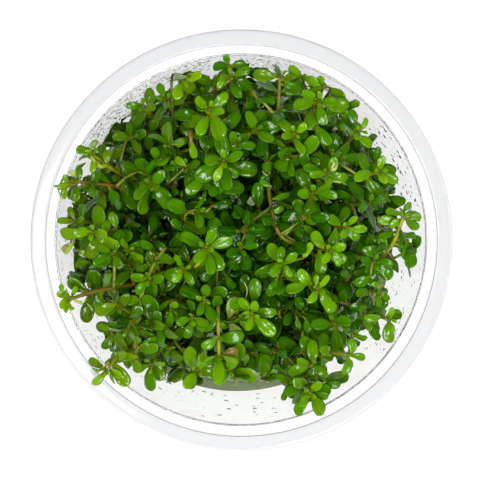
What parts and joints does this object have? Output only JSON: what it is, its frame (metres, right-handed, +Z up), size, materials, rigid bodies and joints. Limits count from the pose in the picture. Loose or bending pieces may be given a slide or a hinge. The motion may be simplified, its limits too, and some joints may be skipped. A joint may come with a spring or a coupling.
{
  "type": "tissue culture aquarium plant in its cup",
  "caption": "Open clear plastic cup holding a dense clump of small glossy green leafy aquarium plant shoots, rooted in a disc of clear culture gel.",
  "frame": {"origin": "middle of the circle that the cup's foot ring stands on", "axes": "+Z up, out of the cup's open mouth; +Y is the top of the picture and +X its right"},
  "size_m": [0.1, 0.1, 0.0628],
  "materials": {
    "clear_plastic": "clear, smooth and thin",
    "set_gel": "slightly cloudy wet gel",
    "young_leaf": "glossy yellow-green leaves",
    "grown_leaf": "glossy mid-green leaves",
    "deep_leaf": "glossy dark green leaves"
  },
  "bodies": {
    "root": {"cup": "clear_plastic", "culture_gel": "set_gel", "shoot_01": "young_leaf", "shoot_02": "young_leaf", "shoot_03": "young_leaf", "shoot_04": "young_leaf", "shoot_05": "young_leaf", "shoot_06": "young_leaf", "shoot_07": "young_leaf", "shoot_08": "young_leaf", "shoot_09": "young_leaf", "shoot_10": "grown_leaf", "shoot_11": "young_leaf", "shoot_12": "young_leaf", "shoot_13": "young_leaf", "shoot_14": "young_leaf", "shoot_15": "young_leaf", "shoot_16": "young_leaf", "shoot_17": "young_leaf", "shoot_18": "young_leaf", "shoot_19": "grown_leaf", "shoot_20": "grown_leaf", "shoot_21": "young_leaf", "shoot_22": "young_leaf", "shoot_23": "grown_leaf", "shoot_24": "grown_leaf", "shoot_25": "grown_leaf", "shoot_26": "grown_leaf", "shoot_27": "grown_leaf", "shoot_28": "young_leaf", "shoot_29": "grown_leaf", "shoot_30": "deep_leaf", "shoot_31": "grown_leaf", "shoot_32": "grown_leaf", "shoot_33": "grown_leaf", "shoot_34": "grown_leaf", "shoot_35": "grown_leaf", "shoot_36": "grown_leaf", "shoot_37": "grown_leaf", "shoot_38": "grown_leaf", "shoot_39": "deep_leaf", "shoot_40": "deep_leaf", "shoot_41": "deep_leaf", "shoot_42": "deep_leaf", "shoot_43": "deep_leaf", "shoot_44": "deep_leaf", "shoot_45": "grown_leaf", "shoot_46": "grown_leaf", "shoot_47": "grown_leaf", "shoot_48": "deep_leaf", "shoot_49": "grown_leaf", "shoot_50": "grown_leaf", "shoot_51": "grown_leaf", "shoot_52": "grown_leaf", "shoot_53": "deep_leaf", "shoot_54": "grown_leaf", "shoot_55": "grown_leaf", "shoot_56": "deep_leaf", "shoot_57": "deep_leaf", "shoot_58": "grown_leaf"}
  },
  "joints": []
}
